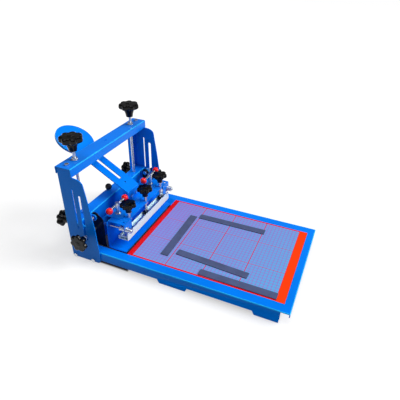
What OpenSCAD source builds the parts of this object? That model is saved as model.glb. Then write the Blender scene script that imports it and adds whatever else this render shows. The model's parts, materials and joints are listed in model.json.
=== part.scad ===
// Tabletop screen printing press: a folded steel base with a printing board,
// two slotted uprights with a top bar, a height carriage, a hinged head with a
// clamp for one screen frame, and a counterweight on a slotted arm.
// The operator stands at the front (-Y), the table is at z = 0.

/* [Base] */
// outer width across the side walls of the base
base_w = 363; // [357:1:369]
// thickness of the folded steel sheet
sheet = 2.5; // [2.2:0.1:2.8]
// height of the mat above the table
mat_h = 40; // [39:1:46]
// width of a side rail beside the board
side_rail = 27; // [25.5:0.5:31]
// length of the printing board, front to back
board_len = 436; // [410:1:442]
// thickness of the printing board
board_t = 16; // [10:0.5:18]
// thickness of the grid mat
mat_t = 1; // [0.6:0.1:2]
// how far the back edge of the board lies behind the centre of its print area
board_back = 214; // [204:1:214.5]
// width of the front rail
front_rail = 20; // [14:1:26]
// drop of the folded front edge
front_drop = 11; // [8:0.5:16]
// depth of the side walls
wall_d = 28; // [26:0.5:30]
// gap left between the front edge and the side walls
corner_gap = 23; // [12:1:23.5]
// width of the rear rail
rear_rail = 22; // [14:1:26]
// length of a foot tab along its lower edge
foot_len = 60; // [40:1:64]
// length added to each end of a foot tab where it meets the side wall
foot_flare = 6; // [2:1:9]
// width of a board support channel
support_w = 40; // [28:1:50]
// shank diameter of the board screws
board_screw_d = 5; // [4:0.5:6]

/* [Registration strips] */
// length of a strip
strip_len = 207; // [180:1:208]
// width of a strip
strip_w = 22; // [16:0.5:23]
// thickness of a strip
strip_t = 2; // [1:0.1:3]

/* [Uprights and top bar] */
// depth of an upright at its foot, front to back
upright_d = 95; // [92:1:97]
// height of the upright plate above the mat
upright_h = 245.5; // [240:0.5:250]
// width of the rear flange of an upright, from its outer face
rear_flange_w = 39; // [37:0.5:41]
// width of the front slot in an upright
wide_slot = 9; // [8.8:0.1:10]
// width of the rear slot in an upright
narrow_slot = 4; // [3.8:0.1:5]
// depth of the top bar, front to back
bar_d = 47; // [46.6:0.2:49]
// height of the front flange of the top bar
bar_front_h = 23; // [22:0.5:23]
// height of the rear flange of the top bar
bar_rear_h = 20; // [14:0.5:22]
// shank diameter of the bolts in the frame
frame_bolt_d = 6; // [5:0.5:6.5]

/* [Height carriage] */
// height of the top of the cross member above the mat
cross_top = 84; // [83:0.5:84]
// depth of the cross member, front to back
cross_d = 35.5; // [34:0.5:36]
// height of the cross member flanges
cross_h = 52; // [48:0.5:54]
// diameter of the long adjusting screws
screw_d = 8; // [7.6:0.1:8.2]
// radial clearance of a screw or pin in its hole
run_fit = 0.08; // [0.05:0.01:0.1]
// distance of a height screw in from the base's side
lift_inset = 46.5; // [45.5:0.5:49]
// distance of the height screws behind the centre of the print area
lift_y = 359; // [358:0.5:360.5]
// diameter of the ball bumper
bumper_d = 20; // [17:0.5:21]
// diameter of a height knob
height_knob_d = 61; // [54:1:66]
// distance of a lock stud in from the base's side
lock_inset = 17.5; // [16.5:0.5:18.5]
// height of a lock stud above the mat
lock_z = 70; // [67:0.5:70]
// diameter of a lock knob
lock_knob_d = 48; // [42:1:52]
// diameter of a side knob
side_knob_d = 52; // [46:1:58]
// height of a side screw above the mat
side_z = 45; // [43:0.5:47]

/* [Head] */
// distance of the head hinge behind the centre of the print area
hinge_y = 317; // [316.5:0.5:318]
// height of the head hinge above the mat
hinge_z = 88; // [87:0.5:88.5]
// distance of a head cheek's outer face in from the base's side
cheek_inset = 41.7; // [41.3:0.1:43]
// depth of the swing plate, front to back
swing_d = 48.5; // [44:0.5:48.5]
// distance of the swing plate's side in from the cheek's outer face
swing_inset = 23.8; // [20.3:0.5:27.8]
// height of the underside of the swing plate above the mat
swing_z = 78.3; // [78.3:0.1:78.6]
// width of the counterweight arm
arm_w = 60; // [52:1:62]
// thickness of the counterweight arm
arm_t = 3; // [2:0.1:3.4]
// slope of the counterweight arm in degrees
arm_slope = 30; // [28:0.5:31]
// length of the sloping part of the arm
arm_len = 255; // [245:1:262]
// width of the long slot in the arm
arm_slot = 10.5; // [10.3:0.1:12]
// diameter of the counterweight disc
weight_d = 115; // [100:1:122]
// thickness of the counterweight disc
weight_t = 8; // [6:0.5:10]
// distance of the counterweight up the arm
weight_at = 219; // [214:0.5:220]

/* [Screen clamp] */
// distance of the jaw's end in from the cheek's outer face
jaw_inset = 0; // [0:0.2:4]
// distance from the jaw's front edge to the back of its wall
jaw_d = 56.5; // [50:0.5:56.5]
// height of the jaw's upper face below the mat
jaw_drop = 8.6; // [8:0.1:9]
// distance of the bracket's top plate in from the cheek's outer face
bracket_inset = 6.8; // [5.8:0.5:8.8]
// depth of the bracket's top plate
bracket_d = 51; // [49:0.5:52]
// distance of the clamp bar's end in from the cheek's outer face
clamp_inset = 15; // [14.8:0.1:19.8]
// depth of the clamp bar, front to back
clamp_d = 31; // [28:0.5:32]
// height of the clamp bar at its front lip
clamp_h = 25.5; // [23:0.5:25.5]
// height of the clamp bar's underside above the mat
clamp_z = 19.5; // [17.5:0.5:19.5]
// wall thickness of the clamp bar
clamp_wall = 3; // [2:0.1:3.2]
// spacing of the clamp screws
clamp_pitch = 92; // [90:0.5:93]
// distance of the clamp screws behind the centre of the print area
clamp_y = 239; // [238.5:0.5:239.5]
// diameter of a clamp knob
clamp_knob_d = 46; // [40:1:48]
// distance of a locking handle's screw behind the centre of the print area
handle_y = 274.5; // [274:0.5:275]
// length between the ball centres of a locking handle
handle_len = 77.3; // [70:0.5:80]
// diameter of the ball grips
grip_d = 19; // [16:0.5:20]
// diameter of the studs for the back and forward setting
stud_d = 6; // [5:0.5:6.4]
// diameter of the thumb nuts
thumb_d = 15; // [13:0.5:15]

/* [Hidden] */
$fn = 64;
half_w = base_w / 2;
inner_gap = 0.5;
board_w = base_w - 2 * (side_rail + inner_gap);
open_hw = board_w / 2 + inner_gap;
board_front = board_back - board_len;
front_y = board_front - front_rail;
base_back = 377;
open_back = base_back - rear_rail;
wall_front = front_y + corner_gap;
foot_front = [wall_front + 1, wall_front + 1 + foot_len];
foot_mid = [65 - (foot_len + 15) / 2, 65 + (foot_len + 15) / 2];
foot_rear = [294, base_back];
foot_bottom = -mat_h;
board_under = -mat_t - board_t;
support_rows = [board_front + 72, board_back - 218, board_back - 72];
support_screw_x = 110;
board_screw_depth = board_t * 0.6;
board_head_h = 3;
strips = [[-12.3, 120.2, 90], [99.8, -1.3, 0.9], [-93.5, -11.1, -3.3], [-137.6, -97.3, -0.4]];
slack = 0.03;
upright_back = 380;
upright_front = upright_back - upright_d;
upright_base = -38;
upright_x = half_w + sheet;
bar_back = upright_back + sheet;
bar_front = bar_back - bar_d;
bar_top = upright_h + sheet;
bar_hw = upright_x + 1.5;
bar_bolt_x = half_w - 13.5;
bar_bolt_y = 358;
bolt_head_h = 4;
nut_h = 5;
bolt_hex_r = 5.5;
foot_bolts = [[368.2, -32.5], [308.1, -32.5]];
wide_y = 322;
wide_bottom = 33;
wide_top = 175;
narrow_y = 342.5;
narrow_bottom = 67;
narrow_top = 190;
flange_slot_bottom = 55;
carriage_hw = half_w - 1.5;
cross_back = base_back;
cross_front = cross_back - cross_d;
cross_hw = carriage_hw - sheet;
cross_under = cross_top - sheet;
lug_foot = cross_top - 26;
lift_x = half_w - lift_inset;
lock_x = half_w - lock_inset;
end_bottom = 20;
end_front = wide_y - 18;
end_cut = 22;
cheek_x = half_w - cheek_inset;
lug_x = cheek_x + 5.7;
lug_r = 10;
pin_nut_x = lug_x + 8;
pin_end_x = lug_x + 16.5;
screw_r = screw_d / 2;
bore_r = screw_r + run_fit;
nut_r = 7.5;
nut_t = 6.5;
boss_len = 11.5;
bumper_y = cross_back - bumper_d / 2;
stem_r = 3;
collar_gap = 0.3;
screw_tail = 13;
knob_depth = 38;
height_knob_z = bar_top + 26;
pin_head_r = 7;
swing_back = 300;
swing_front = swing_back - swing_d;
swing_top = swing_z + sheet;
swing_hw = cheek_x - swing_inset;
apron_bottom = 20;
corner_r = 15;
cheek_in = cheek_x - sheet;
cheek_front = 292.5;
cheek_bottom = -12;
arm_y = 281;
arm_z = 113.6;
arm_bolt_x = 12.7;
arm_bolt_z = 92;
arm_hole_at = 27;
arm_slot_start = 48;
arm_slot_end = weight_at + 13;
spacer_t = 3;
weight_bolt_r = 5;
stud_x = cheek_x - 15.8;
stud_z = 58;
bracket_back = 283.5;
bracket_top = swing_z - 0.3;
bracket_front = bracket_back - bracket_d;
jaw_top = -jaw_drop;
jaw_front = bracket_back - jaw_d;
jaw_hw = cheek_x - jaw_inset;
bracket_hw = cheek_x - bracket_inset;
clamp_hw = cheek_x - clamp_inset;
tab_w = 38;
tab_bottom = 48;
handle_x = clamp_pitch;
handle_z = 110;
travel_back = 8;
travel_fore = 2;
clamp_front = 227;
clamp_top = clamp_z + clamp_h;
groove_z = clamp_z + 14;
groove_w = 18.3;
foot_pad_h = 8;
clamp_knob_z = 96;
mid_y = (front_y + arm_y + cos(arm_slope) * (weight_at + weight_d / 2) - sin(arm_slope) * spacer_t) / 2;

blue = "#0A5FE0";
steel = "#C8CCD0";
black = "#151515";

// moves a piece from the datum of the print area to the frame of the part
module placed() {
    translate([0, -mid_y, mat_h]) children();
}

// plate standing in the YZ plane, from x0 towards +X
module yz_plate(x0, t, pts) {
    translate([x0, 0, 0]) rotate([90, 0, 90]) linear_extrude(t) polygon(pts);
}

// box from one corner to the opposite corner
module block(a, b) {
    translate(a) cube([b[0] - a[0], b[1] - a[1], b[2] - a[2]]);
}

// the same shape on the left and on the right
module both_sides() {
    children();
    mirror([1, 0, 0]) children();
}

// upright round-ended hole through a plate that lies in the YZ plane
module slot_through_x(x0, x1, y, z0, z1, w) {
    block([x0, y - w / 2, z0 + w / 2], [x1, y + w / 2, z1 - w / 2]);
    for (z = [z0 + w / 2, z1 - w / 2])
        translate([x0, y, z]) rotate([0, 90, 0]) cylinder(r = w / 2, h = x1 - x0);
}

// upright round-ended hole through a plate that lies in the XZ plane
module slot_through_y(y0, y1, x, z0, z1, w) {
    block([x - w / 2, y0, z0 + w / 2], [x + w / 2, y1, z1 - w / 2]);
    for (z = [z0 + w / 2, z1 - w / 2])
        translate([x, y0, z]) rotate([-90, 0, 0]) cylinder(r = w / 2, h = y1 - y0);
}

module rod_x(x0, x1, y, z, r) {
    translate([x0, y, z]) rotate([0, 90, 0]) cylinder(r = r, h = x1 - x0);
}

module rod_y(x, y0, y1, z, r) {
    translate([x, y0, z]) rotate([-90, 0, 0]) cylinder(r = r, h = y1 - y0);
}

module rod_z(x, y, z0, z1, r) {
    translate([x, y, z0]) cylinder(r = r, h = z1 - z0);
}

// six sided prism along Z, r across the flats halved
module hex_z(r, h) {
    cylinder(r = r / cos(30), h = h, $fn = 6);
}

// seven lobed star knob along Z, its hub resting on z = 0
module star_knob(d, hub_d, hub_h, star_h, bore) {
    r = d / 2;
    difference() {
        union() {
            cylinder(d = hub_d, h = hub_h + 1);
            translate([0, 0, hub_h]) {
                cylinder(r = r * 0.74, h = star_h);
                for (a = [0 : 6])
                    rotate([0, 0, (a + 0.5) * 360 / 7]) translate([r * 0.76, 0, 0])
                        cylinder(r = r * 0.24, h = star_h);
                cylinder(r = r * 0.5, h = star_h + 3);
            }
        }
        translate([0, 0, -1]) cylinder(r = bore, h = hub_h + star_h + 6);
    }
}

module base_frame() {
    color(blue) placed() difference() {
        union() {
            block([-half_w, front_y, -sheet], [half_w, base_back, 0]);
            block([-half_w, front_y, -front_drop], [half_w, front_y + sheet, 0]);
            block([-half_w, base_back - sheet, -wall_d], [half_w, base_back, 0]);
            both_sides() yz_plate(half_w - sheet, sheet, [
                [wall_front, 0], [wall_front, -wall_d], [foot_front[0], -wall_d - 1],
                [foot_front[0], foot_bottom], [foot_front[1], foot_bottom],
                [foot_front[1] + foot_flare, -wall_d],
                [foot_mid[0] - foot_flare, -wall_d], [foot_mid[0], foot_bottom],
                [foot_mid[1], foot_bottom], [foot_mid[1] + foot_flare, -wall_d],
                [foot_rear[0] - foot_flare, -wall_d], [foot_rear[0], foot_bottom],
                [foot_rear[1], foot_bottom], [foot_rear[1], 0]]);
            both_sides() block([open_hw, board_front - inner_gap - sheet, -wall_d],
                [open_hw + sheet, open_back + sheet, 0]);
            block([-open_hw, board_front - inner_gap - sheet, -wall_d],
                [open_hw, board_front - inner_gap, 0]);
            block([-open_hw, open_back, -wall_d], [open_hw, open_back + sheet, 0]);
        }
        block([-open_hw, board_front - inner_gap, -wall_d - 1], [open_hw, open_back, 1]);
        for (p = foot_bolts)
            both_sides() rod_x(half_w - sheet - 1, half_w + 1, p[0], p[1], frame_bolt_d / 2 + 0.1);
    }
}

module board_supports() {
    color(blue) placed() for (y = support_rows) difference() {
        union() {
            block([-open_hw, y - support_w / 2, board_under - sheet],
                [open_hw, y + support_w / 2, board_under]);
            for (e = [y - support_w / 2, y + support_w / 2 - sheet])
                block([-open_hw, e, -wall_d], [open_hw, e + sheet, board_under]);
        }
        both_sides() rod_z(support_screw_x, y, board_under - sheet - 1, board_under + 1,
            board_screw_d / 2 + 0.2);
    }
}

module platen_board() {
    color("#8A6A48") placed() difference() {
        block([-board_w / 2, board_front, board_under], [board_w / 2, board_back, -mat_t]);
        for (y = support_rows)
            both_sides() rod_z(support_screw_x, y, board_under - 1,
                board_under + board_screw_depth + 0.5, board_screw_d / 2 + slack);
    }
}

module board_screws() {
    color(steel) placed() for (y = support_rows) both_sides() union() {
        rod_z(support_screw_x, y, board_under - sheet - board_head_h,
            board_under - sheet, board_screw_d * 0.9);
        rod_z(support_screw_x, y, board_under - sheet - 1,
            board_under + board_screw_depth, board_screw_d / 2);
    }
}

module grid_mat() {
    color("#8291DC") placed()
        block([-board_w / 2, board_front, -mat_t], [board_w / 2, board_back, 0]);
}

module registration_strips() {
    color("#50608A") placed() for (s = strips)
        translate([s[0], s[1], 0]) rotate([0, 0, s[2]])
            translate([-strip_w / 2, -strip_len / 2, 0]) cube([strip_w, strip_len, strip_t]);
}

// upright on the +X side
module upright() {
    edge = bar_front + sheet + 0.5;
    under = bar_top - bar_front_h - 0.7;
    difference() {
        union() {
            yz_plate(half_w, sheet, [[upright_front + 7, upright_base], [upright_back, upright_base],
                [upright_back, upright_h], [edge, upright_h], [edge, under],
                [upright_front + 47, under], [upright_front + 36, under - 1.5],
                [upright_front + 26, under - 6], [upright_front + 21, under - 12],
                [upright_front + 20, under - 18], [upright_front + 10.6, 140],
                [upright_front + 4, 80], [upright_front, 11], [upright_front - 1, -22],
                [upright_front + 1, -33]]);
            block([upright_x - rear_flange_w, upright_back - sheet, 1],
                [upright_x, upright_back, upright_h]);
            block([upright_x - rear_flange_w, edge, upright_h - sheet],
                [upright_x, upright_back, upright_h]);
        }
        slot_through_x(half_w - 1, upright_x + 1, wide_y, wide_bottom, wide_top, wide_slot);
        slot_through_x(half_w - 1, upright_x + 1, narrow_y, narrow_bottom, narrow_top, narrow_slot);
        slot_through_y(upright_back - sheet - 1, upright_back + 1, lock_x,
            flange_slot_bottom, narrow_top, wide_slot);
        rod_z(bar_bolt_x, bar_bolt_y, upright_h - sheet - 1, upright_h + 1, frame_bolt_d / 2 + 0.1);
        for (p = foot_bolts)
            rod_x(half_w - 1, upright_x + 1, p[0], p[1], frame_bolt_d / 2 + 0.1);
    }
}

module left_upright() {
    color(blue) placed() mirror([1, 0, 0]) upright();
}

module right_upright() {
    color(blue) placed() upright();
}

module upright_bolts() {
    color(steel) placed() for (p = foot_bolts) both_sides() union() {
        translate([upright_x, p[0], p[1]]) rotate([0, 90, 0]) hex_z(bolt_hex_r, bolt_head_h);
        rod_x(half_w - sheet - nut_h - 1, upright_x + 1, p[0], p[1], frame_bolt_d / 2);
    }
}

module upright_nuts() {
    color(steel) placed() for (p = foot_bolts) both_sides() difference() {
        translate([half_w - sheet - nut_h, p[0], p[1]]) rotate([0, 90, 0]) hex_z(bolt_hex_r, nut_h);
        rod_x(half_w - sheet - nut_h - 1, half_w, p[0], p[1], frame_bolt_d / 2 + slack);
    }
}

module top_bar() {
    color(blue) placed() difference() {
        union() {
            block([-bar_hw, bar_front, upright_h], [bar_hw, bar_back, bar_top]);
            block([-bar_hw, bar_front, bar_top - bar_front_h], [bar_hw, bar_front + sheet, bar_top]);
            block([-bar_hw, bar_back - sheet, bar_top - bar_rear_h], [bar_hw, bar_back, bar_top]);
        }
        both_sides() {
            rod_z(lift_x, lift_y, upright_h - 1, bar_top + 1, bore_r);
            rod_z(bar_bolt_x, bar_bolt_y, upright_h - 1, bar_top + 1, frame_bolt_d / 2 + 0.1);
        }
        block([-4, lift_y - 2, upright_h - 1], [4, lift_y + 2, bar_top + 1]);
        for (x = [-4, 4]) rod_z(x, lift_y, upright_h - 1, bar_top + 1, 2);
    }
}

module bar_bolts() {
    color(steel) placed() both_sides() translate([bar_bolt_x, bar_bolt_y, 0]) union() {
        translate([0, 0, bar_top]) hex_z(bolt_hex_r, bolt_head_h);
        translate([0, 0, upright_h - sheet - nut_h - 1])
            cylinder(d = frame_bolt_d, h = 2 * sheet + nut_h + 2);
    }
}

module bar_nuts() {
    color(steel) placed() both_sides() translate([bar_bolt_x, bar_bolt_y, upright_h - sheet - nut_h])
        difference() {
            hex_z(bolt_hex_r, nut_h);
            translate([0, 0, -1]) cylinder(r = frame_bolt_d / 2 + slack, h = nut_h + 2);
        }
}

module cross_member() {
    color(blue) placed() difference() {
        union() {
            block([-cross_hw, cross_front, cross_under], [cross_hw, cross_back, cross_top]);
            for (y = [cross_front, cross_back - sheet])
                block([-cross_hw, y, cross_top - cross_h], [cross_hw, y + sheet, cross_top]);
        }
        both_sides() {
            rod_z(lift_x, lift_y, cross_under - 1, cross_top + 1, screw_r + 0.6);
            rod_y(lock_x, cross_back - sheet - 1, cross_back + 1, lock_z, screw_r + 0.2);
        }
        rod_z(0, bumper_y, cross_under - 1, cross_top + 1, stem_r + slack);
    }
}

module end_plates() {
    color(blue) placed() both_sides() difference() {
        union() {
            yz_plate(cross_hw, sheet, [[end_front, end_bottom], [cross_back, end_bottom],
                [cross_back, cross_top], [wide_y + 8, cross_top], [end_front, cross_top - end_cut]]);
            block([carriage_hw - 1, narrow_y - narrow_slot / 2 + 0.2, cross_top - 10],
                [upright_x - 0.5, narrow_y + narrow_slot / 2 - 0.2, cross_top]);
        }
        rod_x(cross_hw - 1, carriage_hw + 1, wide_y, side_z, screw_r + 0.2);
    }
}

module side_bosses() {
    color(steel) placed() both_sides() difference() {
        rod_x(cross_hw - boss_len, cross_hw, wide_y, side_z, screw_r + 4);
        rod_x(cross_hw - boss_len - 1, cross_hw + 1, wide_y, side_z, bore_r);
    }
}

module hinge_lugs() {
    color(blue) placed() both_sides() difference() {
        union() {
            yz_plate(lug_x, sheet, [[cross_front, lug_foot], [cross_front, cross_top],
                [hinge_y + 5, hinge_z + lug_r - 1.4], [hinge_y - 7.6, hinge_z - 6]]);
            rod_x(lug_x, lug_x + sheet, hinge_y, hinge_z, lug_r);
        }
        rod_x(lug_x - 1, lug_x + sheet + 1, hinge_y, hinge_z, bore_r);
    }
}

module carriage_nuts() {
    color(steel) placed() both_sides() {
        translate([lift_x, lift_y, cross_under - nut_t]) difference() {
            hex_z(nut_r - 1, nut_t);
            translate([0, 0, -1]) cylinder(r = bore_r, h = nut_t + 2);
        }
        translate([lock_x, cross_back - sheet - nut_t, lock_z]) rotate([-90, 0, 0]) difference() {
            hex_z(nut_r - 1, nut_t);
            translate([0, 0, -1]) cylinder(r = bore_r, h = nut_t + 2);
        }
    }
}

module bumper_ball() {
    color(black) placed() difference() {
        translate([0, bumper_y, cross_top + 1 + bumper_d / 2]) sphere(d = bumper_d);
        rod_z(0, bumper_y, cross_top, cross_top + 1 + bumper_d * 0.6, stem_r + slack);
    }
}

module bumper_stem() {
    color(steel) placed() union() {
        translate([0, bumper_y, cross_under - bolt_head_h]) hex_z(bolt_hex_r, bolt_head_h);
        rod_z(0, bumper_y, cross_under - 1, cross_top + bumper_d * 0.6, stem_r);
    }
}

// height screw with the collar and nut that keep it in the top bar
module height_screw() {
    foot = cross_under - nut_t - screw_tail;
    translate([lift_x, lift_y, 0]) union() {
        translate([0, 0, foot]) cylinder(r = screw_r, h = height_knob_z + knob_depth - foot);
        translate([0, 0, upright_h - collar_gap - nut_t]) cylinder(r = nut_r, h = nut_t);
        translate([0, 0, bar_top + collar_gap]) cylinder(r = nut_r + 1.5, h = 1.6);
        translate([0, 0, bar_top + collar_gap]) hex_z(nut_r - 1, nut_t);
    }
}

module left_height_screw() {
    color(steel) placed() mirror([1, 0, 0]) height_screw();
}

module right_height_screw() {
    color(steel) placed() height_screw();
}

module height_knob(x) {
    color(black) placed() translate([x, lift_y, height_knob_z])
        star_knob(height_knob_d, 24, 18, 21, screw_r + slack);
}

module left_height_knob() {
    height_knob(-lift_x);
}

module right_height_knob() {
    height_knob(lift_x);
}

// lock stud along +Y with the washer that bears on the upright
module lock_stud(x) {
    color(steel) placed() union() {
        rod_y(x, cross_back - sheet - nut_t - 2, upright_back + 34, lock_z, screw_r);
        rod_y(x, upright_back + 0.3, upright_back + 1.9, lock_z, screw_r + 5);
    }
}

module left_lock_stud() {
    lock_stud(-lock_x);
}

module right_lock_stud() {
    lock_stud(lock_x);
}

module lock_knob(x) {
    color(black) placed() translate([x, upright_back + 1.9, lock_z]) rotate([0, 90, 90])
        star_knob(lock_knob_d, 20, 17, 16, screw_r + slack);
}

module left_lock_knob() {
    lock_knob(-lock_x);
}

module right_lock_knob() {
    lock_knob(lock_x);
}

module hinge_pins() {
    color(steel) placed() both_sides() {
        union() {
            rod_x(cheek_in - 4.3, cheek_in - 0.3, hinge_y, hinge_z, pin_head_r);
            rod_x(cheek_in - 1, pin_end_x, hinge_y, hinge_z, screw_r);
        }
        difference() {
            translate([pin_nut_x, hinge_y, hinge_z]) rotate([0, 90, 0]) hex_z(nut_r - 1, nut_t);
            rod_x(pin_nut_x - 1, pin_nut_x + nut_t + 1, hinge_y, hinge_z, screw_r + slack);
        }
    }
}

// side screw on the +X side with its lock nut
module side_screw() {
    union() {
        rod_x(cheek_x + 0.3, upright_x + 36, wide_y, side_z, screw_r);
        translate([upright_x + 6, wide_y, side_z]) rotate([0, 90, 0]) hex_z(nut_r - 1, 4);
    }
}

module left_side_screw() {
    color(steel) placed() mirror([1, 0, 0]) side_screw();
}

module right_side_screw() {
    color(steel) placed() side_screw();
}

module side_knob() {
    color(black) placed() translate([upright_x + 10, wide_y, side_z]) rotate([0, 90, 0])
        star_knob(side_knob_d, 20, 11, 14, screw_r + slack);
}

module left_side_knob() {
    mirror([1, 0, 0]) side_knob();
}

module right_side_knob() {
    side_knob();
}

module swing_frame() {
    slot_front = handle_y - travel_fore - bore_r - 0.2;
    slot_back = handle_y + travel_back + bore_r + 0.2;
    color(blue) placed() difference() {
        union() {
            block([-swing_hw, swing_front + corner_r, swing_z], [swing_hw, swing_back, swing_top]);
            block([corner_r - swing_hw, swing_front, swing_z],
                [swing_hw - corner_r, swing_back, swing_top]);
            both_sides()
                rod_z(swing_hw - corner_r, swing_front + corner_r, swing_z, swing_top, corner_r);
            block([-cheek_in, swing_back - sheet, apron_bottom], [cheek_in, swing_back, swing_top]);
            block([-arm_w / 2, arm_y, swing_z], [arm_w / 2, arm_y + sheet, arm_bolt_z + 15]);
        }
        both_sides() {
            block([handle_x - screw_r - 0.4, slot_front + screw_r, swing_z - 1],
                [handle_x + screw_r + 0.4, slot_back - screw_r, swing_top + 1]);
            for (y = [slot_front + screw_r, slot_back - screw_r])
                rod_z(handle_x, y, swing_z - 1, swing_top + 1, screw_r + 0.4);
            rod_y(stud_x, swing_back - sheet - 1, swing_back + 1, stud_z, stud_d / 2 + slack);
            rod_y(arm_bolt_x, arm_y - 1, arm_y + sheet + 1, arm_bolt_z, stem_r + 0.1);
        }
    }
}

module head_cheeks() {
    color(black) placed() both_sides() difference() {
        union() {
            yz_plate(cheek_in, sheet, [[cheek_front, cheek_bottom], [hinge_y, cheek_bottom],
                [hinge_y + 10, cheek_bottom + 14], [hinge_y + 12, hinge_z],
                [hinge_y - 6, hinge_z + 10.3], [cheek_front, swing_top]]);
            rod_x(cheek_in, cheek_x, hinge_y, hinge_z, 12);
        }
        rod_x(cheek_in - 1, cheek_x + 1, hinge_y, hinge_z, bore_r);
    }
}

// moves a shape drawn flat at the origin onto the top face of the arm
module on_arm() {
    translate([0, arm_y, arm_z]) rotate([arm_slope, 0, 0]) children();
}

module slotted_arm() {
    run = arm_len - arm_w / 2;
    front = arm_y - arm_t;
    color(blue) placed() difference() {
        union() {
            block([-arm_w / 2, front, swing_top], [arm_w / 2, arm_y, arm_z - arm_t]);
            on_arm() {
                block([-arm_w / 2, -arm_t, -arm_t], [arm_w / 2, run, 0]);
                translate([0, run, -arm_t]) cylinder(d = arm_w, h = arm_t);
            }
        }
        on_arm() {
            translate([0, arm_hole_at, -arm_t - 1]) cylinder(r = 3.5, h = arm_t + 2);
            block([-arm_slot / 2, arm_slot_start, -arm_t - 1], [arm_slot / 2, arm_slot_end, 1]);
            for (y = [arm_slot_start, arm_slot_end])
                translate([0, y, -arm_t - 1]) cylinder(d = arm_slot, h = arm_t + 2);
        }
        both_sides() rod_y(arm_bolt_x, front - 1, arm_y + 1, arm_bolt_z, stem_r + 0.1);
    }
}

module arm_bolts() {
    front = arm_y - arm_t;
    back = arm_y + sheet;
    color(steel) placed() both_sides() {
        union() {
            translate([arm_bolt_x, front - 3, arm_bolt_z]) rotate([-90, 0, 0]) hex_z(5, 3);
            rod_y(arm_bolt_x, front - 1, back + 6, arm_bolt_z, stem_r);
        }
        difference() {
            translate([arm_bolt_x, back, arm_bolt_z]) rotate([-90, 0, 0]) hex_z(5, nut_h);
            rod_y(arm_bolt_x, back - 1, back + 7, arm_bolt_z, stem_r + slack);
        }
    }
}

module fore_aft_studs() {
    color(steel) placed() both_sides() rod_y(stud_x, 211, swing_back + 6, stud_z, stud_d / 2);
}

module stud_nuts() {
    color(steel) placed() both_sides() for (y = [swing_back - sheet - nut_h, swing_back])
        translate([stud_x, y, stud_z]) rotate([-90, 0, 0]) difference() {
            hex_z(5, nut_h);
            translate([0, 0, -1]) cylinder(r = stud_d / 2 + slack, h = nut_h + 2);
        }
}

module weight_disc() {
    color(blue) placed() on_arm() translate([0, weight_at, spacer_t]) difference() {
        cylinder(d = weight_d, h = weight_t);
        translate([0, 0, -1]) cylinder(r = weight_bolt_r + slack, h = weight_t + 2);
    }
}

module weight_bolt() {
    color(steel) placed() on_arm() translate([0, weight_at, 0]) union() {
        translate([0, 0, -arm_t - 9]) cylinder(r = weight_bolt_r, h = spacer_t + weight_t + arm_t + 10);
        translate([0, 0, 0.2]) cylinder(r = 11, h = spacer_t - 0.2);
        translate([0, 0, spacer_t + weight_t]) hex_z(8, 5);
    }
}

module weight_nut() {
    color(steel) placed() on_arm() translate([0, weight_at, -arm_t - 7.2]) difference() {
        union() {
            hex_z(8, 5);
            translate([0, 0, 5]) cylinder(r = 11, h = 2);
        }
        translate([0, 0, -1]) cylinder(r = weight_bolt_r + slack, h = 10);
    }
}

module screen_bracket() {
    hw = bracket_hw;
    jw = jaw_hw;
    tab_x0 = hw - tab_w;
    color(blue) placed() difference() {
        union() {
            block([-hw, bracket_front, bracket_top - sheet], [hw, bracket_back, bracket_top]);
            block([-jw, bracket_back - sheet, jaw_top - sheet], [jw, bracket_back, bracket_top - sheet]);
            block([-hw, bracket_back - sheet, bracket_top - sheet - 1], [hw, bracket_back, bracket_top]);
            block([-jw, jaw_front, jaw_top - sheet], [jw, bracket_back, jaw_top]);
            both_sides() {
                block([tab_x0, bracket_front - sheet, tab_bottom + 8], [hw, bracket_front, bracket_top]);
                block([tab_x0 + 8, bracket_front - sheet, tab_bottom],
                    [hw - 8, bracket_front, bracket_top]);
                for (x = [tab_x0 + 8, hw - 8])
                    rod_y(x, bracket_front - sheet, bracket_front, tab_bottom + 8, 8);
            }
        }
        both_sides() {
            rod_y(stud_x, bracket_front - sheet - 1, bracket_front + 1, stud_z, stud_d / 2 + 0.4);
            rod_y(stud_x, bracket_back - sheet - 1, bracket_back + 1, stud_z, stud_d / 2 + 0.4);
            rod_z(stud_x - 2, clamp_y - 1, bracket_top - sheet - 1, bracket_top + 1, 4);
            rod_z(handle_x, handle_y, bracket_top - sheet - 1, bracket_top + 1, screw_r + 0.2);
        }
        for (x = [-clamp_pitch, 0, clamp_pitch])
            rod_z(x, clamp_y, bracket_top - sheet - 1, bracket_top + 1, screw_r + 0.2);
    }
}

module bracket_nuts() {
    places = [[-clamp_pitch, clamp_y], [0, clamp_y], [clamp_pitch, clamp_y],
        [-handle_x, handle_y - 0.2], [handle_x, handle_y - 0.2]];
    color(steel) placed() for (p = places)
        translate([p[0], p[1], bracket_top - sheet - nut_t]) difference() {
            hex_z(nut_r - 1.1, nut_t);
            translate([0, p[1] > 260 ? 0.2 : 0, -1]) cylinder(r = bore_r, h = nut_t + 2);
        }
}

// locking handle: screw, shank and cross rod in one turned piece
module handle(x) {
    color(steel) placed() translate([x, handle_y, 0]) union() {
        translate([0, 0, bracket_top - sheet - nut_t - 2])
            cylinder(r = screw_r, h = handle_z - bracket_top + sheet + nut_t);
        translate([0, 0, swing_top + 0.3]) cylinder(r = 9, h = 1.6);
        translate([0, 0, swing_top + 0.3]) cylinder(r = 6, h = handle_z + 6 - swing_top - 0.3);
        rod_x(-handle_len / 2, handle_len / 2, 0, handle_z, 3.5);
    }
}

module left_handle() {
    handle(-handle_x);
}

module right_handle() {
    handle(handle_x);
}

module grips(x) {
    color("#D8141E") placed() for (s = [-1, 1])
        translate([x + s * handle_len / 2, handle_y, handle_z]) difference() {
            rotate([0, 0, 90]) sphere(d = grip_d);
            rod_x(s > 0 ? -grip_d : -0.1, s > 0 ? 0.1 : grip_d, 0, 0, 3.6);
        }
}

module left_grips() {
    grips(-handle_x);
}

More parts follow.
